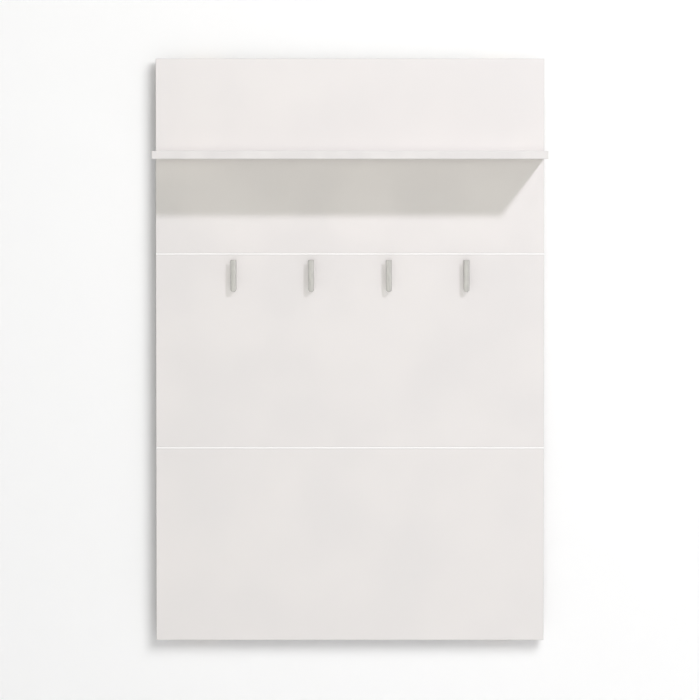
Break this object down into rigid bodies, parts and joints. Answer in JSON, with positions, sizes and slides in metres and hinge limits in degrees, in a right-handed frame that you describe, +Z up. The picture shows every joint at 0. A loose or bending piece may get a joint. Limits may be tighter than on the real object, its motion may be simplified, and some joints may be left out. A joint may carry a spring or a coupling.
{
  "type": "wall hook rack",
  "caption": "White wall panel of stacked boards with slim joint strips, a full-width shelf near the top and metal coat hooks below it.",
  "frame": {"origin": "on the wall plane, midway between the entry holes of the two keyhole hanger plates", "axes": "+Z up, +Y towards the wall, +X to the right as seen from the front; the rack faces -Y"},
  "size_m": [0.8, 0.244, 1.2],
  "materials": {
    "white_board": "warm white melamine on chipboard, fine satin texture",
    "edge_band": "warm white ABS edge band, satin",
    "joint_strip": "bright white extruded PVC, semi-gloss",
    "batten": "white melamine faces with raw chipboard long edges",
    "hook_metal": "satin nickel on a zinc casting",
    "zinc_plate": "bright zinc-plated sheet steel",
    "zinc_screw": "bright zinc-plated steel",
    "beech": "raw beech",
    "rubber": "dark grey moulded rubber, matt"
  },
  "bodies": {
    "root": {"upper_board": "white_board", "middle_board": "white_board", "lower_board": "white_board", "shelf_board": "white_board", "upper_edge_top": "edge_band", "upper_edge_bottom": "edge_band", "upper_edge_left": "edge_band", "upper_edge_right": "edge_band", "middle_edge_top": "edge_band", "middle_edge_bottom": "edge_band", "middle_edge_left": "edge_band", "middle_edge_right": "edge_band", "lower_edge_top": "edge_band", "lower_edge_bottom": "edge_band", "lower_edge_left": "edge_band", "lower_edge_right": "edge_band", "shelf_edge_front": "edge_band", "shelf_edge_left": "edge_band", "shelf_edge_right": "edge_band", "joint_strip_upper": "joint_strip", "joint_strip_lower": "joint_strip", "batten_left": "batten", "batten_right": "batten", "hook_1": "hook_metal", "hook_2": "hook_metal", "hook_3": "hook_metal", "hook_4": "hook_metal", "hanger_plate_left": "zinc_plate", "hanger_plate_right": "zinc_plate", "hook_washers_1": "zinc_plate", "hook_washers_2": "zinc_plate", "hook_washers_3": "zinc_plate", "hook_washers_4": "zinc_plate", "shelf_screws": "zinc_screw", "batten_screws_left": "zinc_screw", "batten_screws_right": "zinc_screw", "hanger_screws_left": "zinc_screw", "hanger_screws_right": "zinc_screw", "hook_screws_1": "zinc_screw", "hook_screws_2": "zinc_screw", "hook_screws_3": "zinc_screw", "hook_screws_4": "zinc_screw", "shelf_dowels": "beech", "wall_bumper_left": "rubber", "wall_bumper_right": "rubber"}
  },
  "joints": []
}
